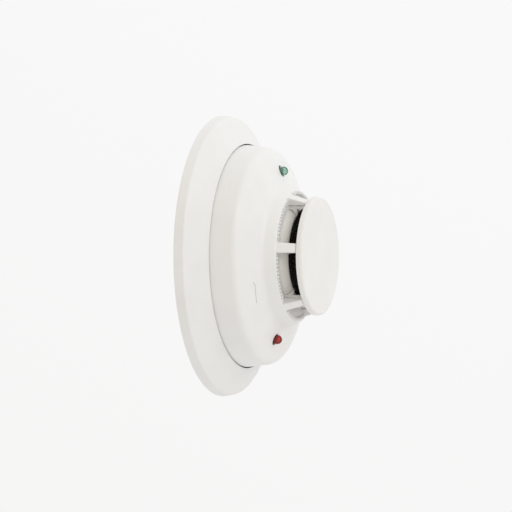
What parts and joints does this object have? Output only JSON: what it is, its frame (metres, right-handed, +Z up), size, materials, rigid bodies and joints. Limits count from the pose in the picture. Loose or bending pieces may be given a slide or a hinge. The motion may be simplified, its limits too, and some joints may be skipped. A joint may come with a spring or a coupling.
{
  "type": "fire detector",
  "caption": "Round two-tier wall detector on a wide flanged base, with a vented collar of fins, a flat cap over a black screened chamber, and green and red indicator lenses.",
  "frame": {"origin": "centre of the mounting base's back, on the detector's axis, in the plane of the wall", "axes": "-Y out of the wall along the detector's axis, +Z up the wall, +X to the right seen from the front"},
  "size_m": [0.155, 0.0563, 0.155],
  "materials": {
    "base_plastic": "fine satin, warm white",
    "cover_plastic": "fine satin, warm white",
    "cap_plastic": "fine satin, slightly creamier white",
    "housing_plastic": "moulded, off-white",
    "black_plastic": "matte black",
    "screen": "black insect mesh",
    "board": "green solder mask",
    "spring_brass": "stamped strip",
    "nickel": "nickel plated strip",
    "steel": "zinc plated",
    "relay_plastic": "sealed relay case",
    "sleeve": "shrunk sleeve",
    "chip": "moulded epoxy",
    "glass_tube": "clear tube",
    "tinted_lens": "dark blue tint",
    "epoxy": "dipped epoxy",
    "green_lens": "translucent green",
    "red_lens": "translucent red"
  },
  "bodies": {
    "base": {"mounting_base": "base_plastic", "terminal_clip_1": "spring_brass", "terminal_clip_2": "spring_brass", "terminal_clip_3": "spring_brass", "terminal_clip_4": "spring_brass", "terminal_washer_1": "nickel", "terminal_washer_2": "nickel", "terminal_washer_3": "nickel", "terminal_washer_4": "nickel", "terminal_screw_1": "steel", "terminal_screw_2": "steel", "terminal_screw_3": "steel", "terminal_screw_4": "steel"},
    "head": {"contact_blade_1": "nickel", "contact_blade_2": "nickel", "contact_blade_3": "nickel", "contact_blade_4": "nickel", "board_screw_1": "steel", "board_screw_2": "steel", "board_screw_3": "steel", "rear_housing": "housing_plastic", "circuit_board": "board", "relay": "relay_plastic", "capacitor_large": "sleeve", "capacitor_small": "sleeve", "microcontroller": "chip", "reed_switch": "glass_tube", "chamber_base": "black_plastic", "chamber_labyrinth": "black_plastic", "insect_screen": "screen", "infrared_emitter": "tinted_lens", "photodiode": "epoxy", "thermistor_1": "epoxy", "thermistor_2": "epoxy", "led_spacer_1": "black_plastic", "led_spacer_2": "black_plastic", "led_green": "green_lens", "led_red": "red_lens"},
    "cover": {"front_cover": "cover_plastic", "vent_throat": "cover_plastic", "vent_fin_1": "cover_plastic", "vent_fin_2": "cover_plastic", "vent_fin_3": "cover_plastic", "vent_fin_4": "cover_plastic", "vent_fin_5": "cover_plastic", "vent_fin_6": "cover_plastic", "cap_disc": "cap_plastic"}
  },
  "joints": [
    {"name": "head_twist", "type": "hinge", "parent": "base", "child": "head", "pos_m": [0, 0, 0], "axis": [0, -1, 0], "range_deg": [0, 20]},
    {"name": "cover_pull", "type": "slide", "parent": "head", "child": "cover", "axis": [0, -1, 0], "range_m": [0, 0.045]}
  ]
}
